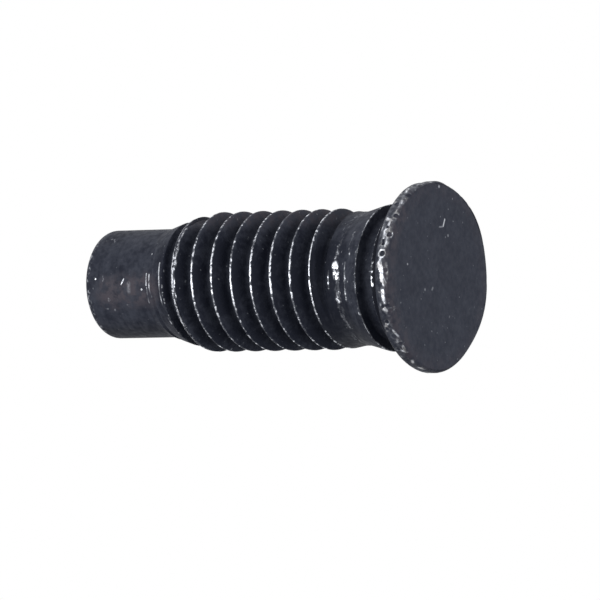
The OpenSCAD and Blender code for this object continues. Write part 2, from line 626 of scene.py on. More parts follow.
# Marks painted on the fine mesh of the head end: start, end and width in millimetres, softness, strength
PAINTED_MARKS = (
    # Rubbed patch and lines on the neck, and on the collar's edge
    ((0.6, -2.776, 3.32), (0.05, -2.849, 3.24), 0.32, 0.45, 1.0),
    ((0.01, -2.849, 3.22), (-0.87, -2.707, 3.24), 0.3, 0.6, 0.56),
    ((1.4, -2.47, 3.38), (0.7, -2.75, 3.34), 0.24, 0.9, 0.3),
    ((1.9, -2.33, 2.62), (0.9, -2.87, 2.58), 0.2, 0.9, 0.27),
    ((-0.2, -2.93, 2.62), (-1.0, -2.78, 2.6), 0.24, 0.9, 0.27),
    ((-1.1, -2.62, 3.1), (-2.1, -1.92, 3.2), 0.24, 0.9, 0.16),
    ((0.67, -2.884, 2.76), (-0.1, -2.95, 2.74), 0.09, 0.5, 0.85),
    ((-0.1, -2.95, 2.74), (-0.92, -2.798, 2.78), 0.09, 0.6, 0.7),
    ((1.08, -2.886, 2.2), (-0.51, -3.069, 2.17), 0.09, 0.6, 0.8),
    ((-0.51, -3.069, 2.17), (-1.56, -2.68, 2.2), 0.08, 0.6, 0.6),
    ((0.35, -2.829, 3.65), (-0.4, -2.828, 3.65), 0.07, 0.6, 0.5),
    ((0.65, -3.08, 1.33), (-0.38, -3.13, 1.33), 0.1, 0.5, 0.85),
    # Bare metal on the rim
    ((0.62, -3.952, 0.35), (-0.18, -3.994, 0.2), 0.22, 0.35, 1.1),
    ((-0.2, -3.995, 0.2), (-0.45, -3.97, 0.18), 0.12, 0.4, 0.85),
    ((-0.5, -3.965, 0.25), (-1.05, -3.86, 0.22), 0.17, 0.35, 1.1),
    ((0.28, -3.9, 0.05), (-0.1, -3.91, 0.05), 0.12, 0.8, 0.62),
    ((0.7, -3.93, 0.36), (1.9, -3.52, 0.36), 0.16, 0.6, 0.85),
    ((1.25, -3.8, 0.18), (1.95, -3.5, 0.14), 0.2, 0.7, 0.75),
    ((2.0, -3.46, 0.3), (2.35, -3.24, 0.25), 0.14, 0.5, 0.85),
    ((2.35, -3.24, 0.25), (2.41, -3.19, 0.45), 0.16, 0.4, 1.0),
    ((-1.34, -3.768, 0.28), (-1.42, -3.74, 0.22), 0.18, 0.4, 1.1),
    ((-1.39, -3.7, 0.06), (-1.4, -3.69, 0.05), 0.3, 0.5, 0.32),
    ((0.981, -3.878, 0.3), (0.981, -3.878, 0.3), 0.38, 0.25, 1.2),
    ((1.785, -3.58, 0.14), (1.785, -3.58, 0.14), 0.34, 0.4, 0.9),
    ((-3.75, -1.3, 0.2), (-3.85, -0.95, 0.15), 0.14, 0.6, 0.8),
    ((-3.9, -0.6, 0.3), (-3.97, -0.3, 0.25), 0.14, 0.6, 0.8),
    ((3.96, -0.25, 0.12), (3.88, -0.65, 0.17), 0.13, 0.5, 0.95),
    ((3.88, -0.65, 0.17), (3.66, -1.4, 0.36), 0.12, 0.7, 0.76),
    ((3.64, -1.5, 0.38), (3.5, -1.9, 0.32), 0.16, 0.5, 0.95),
    ((3.38, -2.1, 0.3), (3.2, -2.38, 0.2), 0.1, 0.8, 0.6),
    ((3.18, -2.41, 0.19), (3.05, -2.56, 0.17), 0.17, 0.5, 0.98),
    ((2.95, -2.69, 0.15), (2.6, -3.02, 0.18), 0.13, 0.7, 0.8),
    ((-2.046, -3.412, 0.45), (-1.98, -3.47, 0.35), 0.12, 0.5, 0.95),
    ((-2.223, -3.322, 0.167), (-2.5, -3.05, 0.06), 0.1, 0.6, 0.75),
    ((-3.05, -2.58, 0.25), (-3.119, -2.505, 0.12), 0.14, 0.6, 0.95),
    ((-3.119, -2.505, 0.12), (-2.9, -2.72, 0.06), 0.1, 0.6, 0.85),
    ((-3.583, -1.775, 0.2), (-3.5, -1.92, 0.12), 0.12, 0.6, 0.9),
)


def paint_marks(bm, size, rub):
    """Raises the rub of the vertices that lie in the painted marks."""
    below = [vert for vert in bm.verts if vert.co.z < size.neck_high]
    verts = [vert for vert in below if radius_of(vert.co) > size.relief_radius]
    for start, end, width, softness, strength in PAINTED_MARKS:
        start, end = Vector(start), Vector(end)
        line = end - start
        middle, reach = (start + end) / 2, line.length / 2 + width
        for vert in verts:
            if (vert.co - middle).length > reach:
                continue
            share = min(1, max(0, (vert.co - start).dot(line) / max(line.length_squared, 1e-9)))
            distance = (vert.co - start - line * share).length
            inside = 1 - ramp(distance, width / 2 * (1 - softness), width / 2 * (1 + softness))
            vert[rub] = max(vert[rub], strength * inside)


# How far the edges are rubbed; the rim's rub grows by the second number for each millimetre towards +X
RIM_RUB, RIM_RUB_GROWS = 0.28, 0.03
COLLAR_RUB = 0.3
LIP_RUB = 0.46
NECK_RUB = 0.13
DOG_END_RUB = 0.16
# An edge's line: its reach up and down in millimetres, then how far across it is whole and reaches
EDGE_UP = 0.05
EDGE_ACROSS = (0.02, 0.07)
# The rubbed rim: how far in from the head's radius it starts and is whole, and the heights of its fade
RIM_IN = (0.16, 0.02)
RIM_FADE = (0.5, 0.64)
# The ring on the neck: its height, and how far it is whole and reaches
NECK_RING = (3.3, 0.1, 0.2)
# The rubbed ring on the dog point's end: how far in from its side it lies, is whole and reaches
DOG_RING_IN = 0.08
DOG_RING = (0.05, 0.16)
DOG_END_BAND = 0.1


def edge_rub(vert, radius, edge_height, edge_radius):
    """1 on a round edge, and 0 a little way from it up, down or across."""
    return near(vert.co.z, edge_height, 0, EDGE_UP) * near(radius, edge_radius, *EDGE_ACROSS)


def mark_head_end(bm, size, rub, top):
    """Marks the rim, the collar's and the lip's edge, a ring on the neck and the dog's end as rubbed."""
    rim_low, rim_high = size.head_radius - RIM_IN[0], size.head_radius - RIM_IN[1]
    for vert in bm.verts:
        radius = radius_of(vert.co)
        if vert.co.z > size.overall_length - size.end_round - DOG_END_BAND:
            vert[rub] = DOG_END_RUB * near(radius, size.dog_radius - DOG_RING_IN, *DOG_RING)
            continue
        if vert.co.z > top + RING_GAP / 2:
            continue
        rim = ramp(radius, rim_low, rim_high) * ramp(-vert.co.z, -RIM_FADE[1], -RIM_FADE[0])
        rim *= RIM_RUB + RIM_RUB_GROWS * vert.co.x
        collar = COLLAR_RUB * edge_rub(vert, radius, size.collar_top, size.collar_radius)
        lip = LIP_RUB * edge_rub(vert, radius, size.lip_z, size.lip_radius)
        neck = NECK_RUB * near(vert.co.z, *NECK_RING)
        vert[rub] = max(vert[rub], rim, collar, lip, neck)


# Dents on the rim: direction in degrees, then height, radius and depth in millimetres
PLACED_DENTS = (
    (-75.8, 0.3, 0.23, 0.08),
    (-63.5, 0.14, 0.21, 0.08),
    (-67.5, 0.34, 0.13, 0.06),
    (-69.8, 0.32, 0.13, 0.06),
    (-58.5, 0.3, 0.12, 0.05),
    (-95.2, 0.39, 0.12, 0.05),
    (-86.0, 0.1, 0.16, 0.03),
    (-107.9, 0.35, 0.13, 0.04),
    (-110.8, 0.06, 0.14, 0.04),
    (-112.5, 0.12, 0.14, 0.05),
    (-118.0, 0.32, 0.16, 0.05),
    (-123.0, 0.42, 0.14, 0.04),
    (-128.5, 0.24, 0.2, 0.05),
    (-134.5, 0.12, 0.16, 0.05),
    (-139.0, 0.34, 0.16, 0.04),
    (-145.0, 0.12, 0.2, 0.05),
    (-151.0, 0.3, 0.15, 0.05),
    (-50.0, 0.12, 0.2, 0.04),
    (-40.0, 0.36, 0.2, 0.05),
    (-31.0, 0.12, 0.22, 0.04),
    (-18.0, 0.3, 0.18, 0.04),
)
DENT_SEED = 5
SEEDED_DENTS = 30
# Directions between which the dents are seeded, and how far along its step each may lie
SEEDED_FROM, SEEDED_TO = -10, 200
SEEDED_PLACE = (0.1, 0.9)
# Ranges of a seeded dent's height, radius and depth
SEEDED_RANGES = ((0.1, 0.55), (0.12, 0.24), (0.02, 0.05))


def rim_dents():
    """The dents that show in the photograph, and seeded ones on the rest of the rim."""
    draw = random.Random(DENT_SEED)
    dents = list(PLACED_DENTS)
    step = (SEEDED_TO - SEEDED_FROM) / SEEDED_DENTS
    for index in range(SEEDED_DENTS):
        angle = SEEDED_FROM + step * (index + draw.uniform(*SEEDED_PLACE))
        dents.append((angle, *[draw.uniform(low, high) for low, high in SEEDED_RANGES]))
    return dents


# Where the head is out of round: direction and spread in degrees, then how far out in millimetres
UNROUND = (
    (-24, 7, 0.03),
    (-14, 5, 0.02),
    (5, 7, 0.05),
    (55, 22, 0.12),
    (105, 18, 0.09),
    (140, 16, -0.06),
    (180, 12, 0.04),
)
# How far outside the collar the head may be out of round, and how far in from the rim the dents reach
UNROUND_FROM = 0.1
DENT_BAND = 0.3


def turned_from(angle, centre):
    """The signed turn from one direction to another, in radians."""
    return (angle - centre + math.pi) % TURN - math.pi


def dent_rim(bm, size, pit):
    """Presses the rim out of round and dents it, and marks how deep each vertex lies in a dent."""
    dents = [(math.radians(angle), *rest) for angle, *rest in rim_dents()]
    unround = [(math.radians(centre), math.radians(spread), move) for centre, spread, move in UNROUND]
    inner = size.collar_radius + UNROUND_FROM
    for vert in bm.verts:
        radius = radius_of(vert.co)
        if vert.co.z > size.head_thickness + LEVEL_SLACK or radius < inner:
            continue
        angle = math.atan2(vert.co.y, vert.co.x)
        out = 0
        for centre, spread, move in unround:
            out += move * math.exp(-((turned_from(angle, centre) / spread) ** 2))
        out *= ramp(radius, inner, size.head_radius)
        depth = 0
        if radius > size.head_radius - DENT_BAND:
            for centre, height, reach, deepest in dents:
                across = turned_from(angle, centre) * size.head_radius
                distance = math.hypot(across, vert.co.z - height) / reach
                if distance < 1:
                    share = (1 - distance * distance) ** 2
                    depth = max(depth, deepest * share)
                    vert[pit] = max(vert[pit], share)
        set_radius(vert, radius + out - depth)


# Node helpers


def set_inputs(tree, node, inputs):
    """Links each of a node's inputs from a socket, or sets it to a value."""
    for key, value in inputs.items():
        if isinstance(value, bpy.types.NodeSocket):
            tree.links.new(value, node.inputs[key])
        else:
            node.inputs[key].default_value = value


def add_node(tree, kind, inputs=None, **settings):
    """A node with its settings, and its inputs set or linked."""
    node = tree.nodes.new(kind)
    for key, value in settings.items():
        setattr(node, key, value)
    set_inputs(tree, node, inputs or {})
    return node


def maths(tree, operation, *values, clamp=False):
    inputs = dict(enumerate(values))
    return add_node(tree, "ShaderNodeMath", inputs, operation=operation, use_clamp=clamp).outputs[0]


def joined(tree, operation, values):
    """One operation applied to the first two values, then to its result and the next value, to the end."""
    result = values[0]
    for value in values[1:]:
        result = maths(tree, operation, result, value)
    return result


def product(tree, *values):
    return joined(tree, "MULTIPLY", values)


def total(tree, *values):
    return joined(tree, "ADD", values)


def largest(tree, *values):
    return joined(tree, "MAXIMUM", values)


def blend(tree, factor, first, second):
    """A mix of two colours."""
    return add_node(tree, "ShaderNodeMix", {0: factor, 6: first, 7: second}, data_type="RGBA").outputs[2]


def between(tree, value, low, high, start=0.0, end=1.0):
    """Maps a value from low..high to start..end, smoothly and within them."""
    node = add_node(
        tree,
        "ShaderNodeMapRange",
        {"Value": value, "From Min": low, "From Max": high, "To Min": start, "To Max": end},
        interpolation_type="SMOOTHSTEP",
    )
    return node.outputs[0]


def stretched(tree, vector, scale):
    node = add_node(tree, "ShaderNodeVectorMath", {0: vector, 1: scale}, operation="MULTIPLY")
    return node.outputs[0]


def noise(tree, vector, scale, detail, roughness):
    inputs = {"Vector": vector, "Scale": scale, "Detail": detail, "Roughness": roughness}
    return add_node(tree, "ShaderNodeTexNoise", inputs).outputs["Fac"]


def rgba(colour):
    return (*colour, 1.0)


def new_group(name, inputs, outputs):
    """An empty shader group with named sockets, the sockets it is given, and its output node."""
    group = bpy.data.node_groups.new(name, "ShaderNodeTree")
    for socket_name, kind in inputs.items():
        group.interface.new_socket(socket_name, in_out="INPUT", socket_type=kind)
    for socket_name, kind in outputs.items():
        group.interface.new_socket(socket_name, in_out="OUTPUT", socket_type=kind)
    return group, group.nodes.new("NodeGroupInput").outputs, group.nodes.new("NodeGroupOutput")


def use_group(tree, group, inputs):
    return add_node(tree, "ShaderNodeGroup", inputs, node_tree=group).outputs


FLOAT, COLOUR, VECTOR = "NodeSocketFloat", "NodeSocketColor", "NodeSocketVector"
# Noises in the finish: scale per millimetre, detail and roughness
CLOUDS = (1.1, 4.0, 0.55)
GRAIN = (4.0, 3.0, 0.6)
FINE_GRAIN = (22.0, 2.0, 0.5)
ROLLED = (1.0, 3.0, 0.6)
STAINS = (2.6, 4.0, 0.6)
FLECKS = (5.0, 1.0, 0.5)
LONG_MARKS = (1.0, 4.0, 0.65)
NICK_BREAKS = (9.0, 2.0, 0.6)
DULL_CLOUDS = (3.5, 2.0, 0.5)
# Stretches that make a noise run round the axis
ROLLED_STRETCH = (0.5, 0.5, 6.0)
MARKS_STRETCH = (1.0, 1.0, 4.0)
# Detail and roughness of the beads, whose scale is given, and the middle value of a noise
BEADS = (1.5, 0.6)
NOISE_MIDDLE = 0.5
# Shares of the noises in how light the oxide is, and how much the others stand out beside the grain
CLOUDS_SHARE, GRAIN_SHARE, ROLLED_SHARE = 0.45, 0.35, 0.2
FINE_HEIGHT, ROLLED_HEIGHT = 0.12, 0.9
# How light the oxide is where it is even, and how much painted shade takes off
EVEN_LIGHTNESS = 0.82
PAINTED_SHADE_DARKENS = 0.9
# From where to where in its noise an effect sets in, then its strength at both where that isn't 0 and 1
CLOUD_EDGES = (0.34, 0.66)
STAIN_EDGES = (0.4, 0.6, 0.15, 1.0)
FLECK_EDGES = (0.72, 0.8)
GRAIN_ROUGHNESS = (0.3, 0.7, 0.6, 0.48)
# From where to where a rub, broken up and then as it is, makes the steel bare or its coating thin
BARE_EDGES, BARE_FROM = (0.4, 0.95), (0.08, 0.24)
THIN_EDGES, THIN_FROM = (0.1, 0.6), (0.04, 0.16)
THIN_BREAK_UP = 0.4


def oxide_group():
    """Black oxide: clouds of thick and thin coating, soft grain, brown stains and painted sheen, faint
    rolled rings, and painted shade where it is given.
    """
    group, given, result = new_group(
        "Black oxide",
        {
            "Vector": VECTOR,
            "Dark": COLOUR,
            "Light": COLOUR,
            "Stain": COLOUR,
            "Stain amount": FLOAT,
            "Recess": FLOAT,
            "Evenness": FLOAT,
        },
        {"Color": COLOUR, "Roughness": FLOAT, "Height": FLOAT, "Flecks": FLOAT},
    )
    place = given["Vector"]
    grain = noise(group, place, *GRAIN)
    rolled = noise(group, stretched(group, place, ROLLED_STRETCH), *ROLLED)
    clouds = product(group, noise(group, place, *CLOUDS), CLOUDS_SHARE)
    clouds = total(group, clouds, product(group, grain, GRAIN_SHARE), product(group, rolled, ROLLED_SHARE))
    lightness = between(group, clouds, *CLOUD_EDGES)
    even = product(group, maths(group, "SUBTRACT", EVEN_LIGHTNESS, lightness), given["Evenness"])
    # Painted shade takes lightness off the oxide
    darker = product(group, given["Recess"], PAINTED_SHADE_DARKENS)
    lightness = maths(group, "SUBTRACT", total(group, lightness, even), darker)
    base = blend(group, maths(group, "MAXIMUM", lightness, 0.0), given["Dark"], given["Light"])
    stains = between(group, noise(group, place, *STAINS), *STAIN_EDGES)
    stains = maths(group, "MULTIPLY", stains, given["Stain amount"], clamp=True)
    fine = product(group, noise(group, place, *FINE_GRAIN), FINE_HEIGHT)
    outputs = {
        "Color": blend(group, stains, base, given["Stain"]),
        "Roughness": between(group, grain, *GRAIN_ROUGHNESS),
        "Height": total(group, grain, fine, product(group, rolled, ROLLED_HEIGHT)),
        "Flecks": between(group, noise(group, place, *FLECKS), *FLECK_EDGES),
    }
    set_inputs(group, result, outputs)
    return group


def rubbed_group():
    """Bare metal in beads or streaks where an edge is rubbed, and a thin coating round it."""
    group, given, result = new_group(
        "Rubbed edge",
        {"Vector": VECTOR, "Rub": FLOAT, "Bead size": FLOAT, "Streaks": FLOAT, "Break-up": FLOAT},
        {"Mask": FLOAT, "Thin": FLOAT, "Height": FLOAT},
    )
    place, rub = given["Vector"], given["Rub"]
    long_marks = noise(group, stretched(group, place, MARKS_STRETCH), *LONG_MARKS)
    beads = noise(group, place, maths(group, "DIVIDE", 1.0, given["Bead size"]), *BEADS)
    longer = product(group, maths(group, "SUBTRACT", long_marks, beads), given["Streaks"])
    broken = maths(group, "SUBTRACT", total(group, beads, longer), NOISE_MIDDLE)
    broken = product(group, broken, given["Break-up"])
    bare = between(group, total(group, rub, broken), *BARE_EDGES)
    thin = between(group, total(group, rub, product(group, broken, THIN_BREAK_UP)), *THIN_EDGES)
    outputs = {
        "Mask": product(group, bare, between(group, rub, *BARE_FROM)),
        "Thin": product(group, thin, between(group, rub, *THIN_FROM)),
        "Height": beads,
    }
    set_inputs(group, result, outputs)
    return group


def nick_group():
    """A round-ended mark on the surface from a start to an end, with a width and a soft edge."""
    group, given, result = new_group(
        "Nick",
        {"Vector": VECTOR, "Start": VECTOR, "End": VECTOR, "Width": FLOAT, "Softness": FLOAT},
        {"Mask": FLOAT},
    )

    def vector(operation, first, second):
        return add_node(group, "ShaderNodeVectorMath", {0: first, 1: second}, operation=operation).outputs

    line = vector("SUBTRACT", given["End"], given["Start"])[0]
    offset = vector("SUBTRACT", given["Vector"], given["Start"])[0]
    reached = vector("DOT_PRODUCT", offset, line)["Value"]
    share = maths(group, "DIVIDE", reached, vector("DOT_PRODUCT", line, line)["Value"], clamp=True)
    scaled = add_node(group, "ShaderNodeVectorMath", {0: line, "Scale": share}, operation="SCALE")
    distance = vector("DISTANCE", offset, scaled.outputs[0])["Value"]
    half = product(group, given["Width"], 0.5)
    inner = product(group, half, maths(group, "SUBTRACT", 1.0, given["Softness"]))
    outer = product(group, half, total(group, 1.0, given["Softness"]))
    set_inputs(group, result, {"Mask": between(group, distance, inner, outer, 1.0, 0.0)})
    return group


# Marks seen in the photograph: start, end and width in millimetres, softness and strength
NICKS = (
    # Specks, scratch and short arcs on the dog point
    ((0.224, -2.324, 15.917), (0.224, -2.324, 15.917), 0.09, 0.4, 1.0),
    ((1.241, -2.016, 13.161), (1.241, -2.016, 13.161), 0.07, 0.5, 0.7),
    ((-0.274, -2.318, 13.527), (-0.274, -2.318, 13.527), 0.09, 0.4, 1.0),
    ((0.0, -2.335, 14.19), (-0.34, -2.309, 14.2), 0.14, 1.0, 0.2),
    ((-0.039, -2.334, 14.58), (0.195, -2.327, 14.451), 0.06, 0.5, 0.9),
    ((0.4, -2.3, 13.27), (-0.1, -2.335, 13.27), 0.06, 0.5, 0.8),
    ((-0.2, -2.335, 13.25), (-0.837, -2.18, 13.22), 0.06, 0.6, 0.5),
    ((0.35, -2.36, 13.1), (-0.2, -2.37, 13.1), 0.07, 0.5, 0.9),
    ((0.846, -2.458, 12.484), (0.09, -2.6, 12.437), 0.07, 0.5, 0.9),
    ((0.09, -2.6, 12.437), (-0.76, -2.486, 12.384), 0.07, 0.5, 0.9),
    ((-0.76, -2.486, 12.384), (-1.75, -2.02, 12.2), 0.07, 0.7, 0.75),
    ((-0.2, -2.37, 13.1), (-0.6, -2.29, 13.0), 0.06, 0.6, 0.6),
    # Flecks and a scratch on the head's face
    ((0.53, -2.36, 0), (0.53, -2.36, 0), 0.08, 0.6, 0.55),
    ((1.745, 0.862, 0), (1.745, 0.862, 0), 0.1, 0.7, 0.4),
    ((3.801, 0.208, 0), (3.801, 0.208, 0), 0.12, 0.7, 0.6),
    ((-0.533, -1.023, 0), (-0.533, -1.023, 0), 0.1, 0.7, 0.35),
    ((-0.532, -0.472, 0), (-0.45, -0.4, 0), 0.08, 0.7, 0.35),
    ((2.42, 0.62, 0), (2.15, 0.5, 0), 0.08, 0.6, 0.8),
    ((2.12, 0.45, 0), (2.1, 0.18, 0), 0.06, 0.9, 0.35),
)
# A brown patch on the dog point's front, partly stain and partly painted sheen where the front lamp's soft
# light falls: start, end, width and softness
BROWN_PATCH_AND_SHEEN = ((-0.4, -2.3, 15.2), (-0.3, -2.31, 13.2), 1.3, 0.6)

# Zones of the finish: the product of soft edges, each given as what it is measured along, where it starts
# and ends, and its strength at both. Lengths are in millimetres, and a pit is 1 in the middle of a dent.
BROWN_EDGE = (
    ("radius", 3.1, 3.75, 0.0, 1.0),
    ("height", 0.1, 0.3, 1.0, 0.0),
    ("y", -2.8, -1.4, 0.75, 0.3),
)
# Painted shade on the thread: stronger out on the flanks than at the roots, and fading towards +X and
# towards -X
VALLEYS = (
    ("height", 2.7, 3.1, 0.0, 1.0),
    ("height", 12.4, 13.0, 1.0, 0.0),
    ("radius", 2.4, 2.8, 0.3, 0.72),
    ("x", 0.8, 2.3, 1.0, 0.1),
    ("x", -2.2, -0.2, 0.4, 1.0),
)
# Painted shade on the low side, towards -X
LOW_SIDE = (("x", -2.3, -1.5, 0.45, 0.0),)
# Painted light on the thread's top side, towards +X
TOP_SIDE = (("height", 3.9, 4.5, 0.0, 1.0), ("height", 12.0, 12.6, 1.0, 0.0), ("x", 2.0, 2.7, 0.0, 1.0))
# Painted shade under the head, on the collar
UNDER_HEAD = (("radius", 3.3, 3.6, 1.0, 0.0), ("height", 1.26, 1.34, 0.8, 0.0))
ABOVE_FACE = (("height", 0.5, 0.6, 0.0, 1.0),)
# Painted deep shade on the neck from the lip to the thread: at the thread's run-out, fading towards +X, and
# on the low side towards -X
LIP_TO_THREAD = (("height", 2.5, 2.9, 0.0, 1.0), ("height", 4.4, 4.9, 1.0, 0.0))
RUN_OUT = (("height", 3.4, 3.8, 0.0, 1.0), ("x", 0.8, 2.3, 0.5, 0.1))
LOW_ON_NECK = (("x", -1.6, -0.5, 0.42, 0.0),)
# Painted deep shade on the dog point's low side, towards -X
LOW_ON_DOG = (("height", 12.6, 13.2, 0.0, 1.0), ("x", -2.1, -1.5, 0.4, 0.0))
FACE = (("height", 0.02, 0.1, 1.0, 0.0),)
RIM = (("radius", 3.6, 3.7, 0.0, 1.0),)
STREAKED_NECK = (("height", 1.9, 2.1, 0.0, 1.0), ("height", 3.8, 4.0, 0.35, 0.0))
PIT_EDGES = (("pit", 0.02, 0.12, 0.0, 1.0), ("pit", 0.25, 0.45, 1.0, 0.0))
OUT_OF_PITS = (("pit", 0.4, 0.6, 1.0, 0.0),)
THIN_COATING = (("off_middle", 0.4, 1.6, 0.14, 0.28),)

# How much brown the painted light on the top side takes, and how dark the painted shade under the head is
TOP_SIDE_SHEEN = 0.8
UNDER_HEAD_DEEP_SHADE = 0.8
FACE_EVENNESS = 0.55
PIT_EDGE_RUB = 0.08
# Size of the beads of bare metal in millimetres, how streaked they are and how far they break up the edge,
# and what the rim adds to the first or takes off the last
BEAD_SIZE, RIM_BEADS_MORE = 0.16, 0.12
STREAKS = 0.25
BREAK_UP, RIM_BREAK_UP_LESS = 6.0, 2.6
NICK_EDGES = (0.3, 0.48)
DULL_EDGES = (0.44, 0.62)
FLECK_STRENGTH = 0.22
BARE_ROUGHNESS = 0.3
SPECULAR = 0.06
BEAD_HEIGHT = 2.5
BUMP_STRENGTH = 0.6
BUMP_DISTANCE = 0.03 * MM


def surface_place(tree):
    """The point that is shaded: its place in millimetres, how far out it lies, and its rub and pit."""
    place = add_node(tree, "ShaderNodeTexCoord").outputs["Object"]
    place = stretched(tree, place, (1 / MM, 1 / MM, 1 / MM))
    x, y, height = add_node(tree, "ShaderNodeSeparateXYZ", {0: place}).outputs
    return SimpleNamespace(
        place=place,
        x=x,
        y=y,
        height=height,
        radius=maths(tree, "SQRT", total(tree, product(tree, x, x), product(tree, y, y))),
        off_middle=maths(tree, "ABSOLUTE", x),
        rub=add_node(tree, "ShaderNodeAttribute", attribute_name="rub").outputs["Fac"],
        pit=add_node(tree, "ShaderNodeAttribute", attribute_name="pit").outputs["Fac"],
    )


def zone(tree, at, edges):
    """The strength of a zone of the finish."""
    return product(tree, *[between(tree, getattr(at, measure), *edge) for measure, *edge in edges])


def mark(tree, nick, at, start, end, width, softness):
    """The mask of one mark on the surface."""
    inputs = {"Vector": at.place, "Start": start, "End": end, "Width": width, "Softness": softness}
    return use_group(tree, nick, inputs)["Mask"]


def oxide_zones(tree, at, patch):
    """How much brown stain and painted sheen the oxide takes, how far painted shade darkens it, and where
    deep shade is painted near black.
    """
    above_face = zone(tree, at, ABOVE_FACE)
    under_head = product(tree, zone(tree, at, UNDER_HEAD), above_face)
    # Painted light on the thread's top side, towards +X: it takes the brown and is taken off the painted
    # shade
    top_side = zone(tree, at, TOP_SIDE)
    stain_and_sheen = largest(tree, zone(tree, at, BROWN_EDGE), patch, product(tree, top_side, TOP_SIDE_SHEEN))
    # Painted shade in the thread's valleys, on the low side and under the head
    painted_shade = largest(tree, zone(tree, at, VALLEYS), zone(tree, at, LOW_SIDE))
    painted_shade = largest(tree, product(tree, painted_shade, above_face), under_head)
    painted_shade = maths(tree, "SUBTRACT", painted_shade, top_side)
    # Painted deep shade, near black: at the run-out, on the neck's low side, under the head and on the dog
    # point's low side
    on_neck = largest(tree, zone(tree, at, RUN_OUT), zone(tree, at, LOW_ON_NECK))
    on_neck = product(tree, zone(tree, at, LIP_TO_THREAD), on_neck)
    sooty = largest(tree, on_neck, product(tree, under_head, UNDER_HEAD_DEEP_SHADE), zone(tree, at, LOW_ON_DOG))
    return stain_and_sheen, painted_shade, sooty


def worn_edges(tree, at, on_rim):
    """The rubbed edges of the stud and its dents, in beads that are larger and less broken on the rim."""
    inputs = {
        "Vector": at.place,
        "Rub": total(tree, at.rub, product(tree, zone(tree, at, PIT_EDGES), PIT_EDGE_RUB)),
        "Bead size": total(tree, product(tree, on_rim, RIM_BEADS_MORE), BEAD_SIZE),
        "Streaks": total(tree, zone(tree, at, STREAKED_NECK), STREAKS),
        "Break-up": maths(tree, "SUBTRACT", BREAK_UP, product(tree, on_rim, RIM_BREAK_UP_LESS)),
    }
    return use_group(tree, rubbed_group(), inputs)


def blackened_steel(finish):
    """The stud's one material: black oxide, rubbed bare on the crests and edges, and pitted on the rim."""
    material = bpy.data.materials.new("blackened_steel")
    material.use_nodes = True
    tree = material.node_tree
    shader = tree.nodes["Principled BSDF"]
    at = surface_place(tree)
    on_rim = zone(tree, at, RIM)
    nick = nick_group()
    stain_and_sheen, painted_shade, sooty = oxide_zones(tree, at, mark(tree, nick, at, *BROWN_PATCH_AND_SHEEN))
    oxide_inputs = {
        "Vector": at.place,
        "Dark": rgba(finish.oxide_dark),
        "Light": rgba(finish.oxide_light),
        "Stain": rgba(finish.brown),
        "Stain amount": stain_and_sheen,
        "Recess": painted_shade,
        "Evenness": product(tree, zone(tree, at, FACE), FACE_EVENNESS),
    }
    oxide = use_group(tree, oxide_group(), oxide_inputs)
    masks = [product(tree, mark(tree, nick, at, *spot), strength) for *spot, strength in NICKS]
    breaks = between(tree, noise(tree, at.place, *NICK_BREAKS), *NICK_EDGES)
    nicks = maths(tree, "MULTIPLY", largest(tree, *masks), breaks, clamp=True)
    worn = worn_edges(tree, at, on_rim)
    thin = product(tree, worn["Thin"], zone(tree, at, THIN_COATING))
    bare = largest(tree, worn["Mask"], thin, nicks, product(tree, oxide["Flecks"], FLECK_STRENGTH))
    bare = maths(tree, "MULTIPLY", bare, zone(tree, at, OUT_OF_PITS), clamp=True)
    dulled = product(tree, on_rim, between(tree, noise(tree, at.place, *DULL_CLOUDS), *DULL_EDGES))
    steel = blend(tree, dulled, rgba(finish.bare), rgba(finish.dull))
    # Painted deep shade: the oxide is blended to near black where the shade mask is given
    black = blend(tree, sooty, oxide["Color"], rgba(finish.sooty))
    tree.links.new(blend(tree, bare, black, steel), shader.inputs["Base Color"])
    tree.links.new(bare, shader.inputs["Metallic"])
    rough = add_node(tree, "ShaderNodeMix", {0: bare, 2: oxide["Roughness"], 3: BARE_ROUGHNESS})
    tree.links.new(rough.outputs[0], shader.inputs["Roughness"])
    shader.inputs["Specular IOR Level"].default_value = SPECULAR
    beads = product(tree, bare, product(tree, worn["Height"], BEAD_HEIGHT))
    bump_inputs = {
        "Strength": BUMP_STRENGTH,
        "Distance": BUMP_DISTANCE,
        "Height": total(tree, beads, oxide["Height"]),
    }
    bump = add_node(tree, "ShaderNodeBump", bump_inputs)
    tree.links.new(bump.outputs["Normal"], shader.inputs["Normal"])
    return material


# Stage


# Shares of the head's radius: the floor's hole, and the hole of the ring that shows it under the rim
HOLE_SHARE = 0.98
RING_SHARE = 0.9
FLOOR_GAP = 0.005 * MM
FLOOR_SEGMENTS = 128
ROOM_LIGHT = (0.24, 0.25, 0.27, 1)
WHITE = (1, 1, 1, 1)
SENSOR_WIDTH = 36
CLIP_START, CLIP_END = 0.01, 5
# Lamps: azimuth and elevation in degrees, then distance, width and height in metres, and power in watts
LAMPS = (
    ("front_softbox", 0, 33, 0.25, 0.16, 0.15, 0.3),
    ("side_softbox", 80, 20, 0.4, 0.6, 0.6, 0.7),
    ("low_softbox", 0, -75, 0.4, 0.3, 0.3, 0.88),
)


def one_sided_floor(colour):
    """A plain pale floor that is seen from above only, so that the head's face shows from below."""
    material = bpy.data.materials.new("floor")
    material.use_nodes = True
    tree = material.node_tree
    tree.nodes.remove(tree.nodes["Principled BSDF"])
    output = tree.nodes["Material Output"]
    pale = add_node(tree, "ShaderNodeBsdfDiffuse", {"Color": rgba(colour)})
    clear = add_node(tree, "ShaderNodeBsdfTransparent")
    below = add_node(tree, "ShaderNodeNewGeometry").outputs["Backfacing"]
    mix = add_node(tree, "ShaderNodeMixShader", {0: below, 1: pale.outputs[0], 2: clear.outputs[0]})
    tree.links.new(mix.outputs[0], output.inputs["Surface"])
    return material


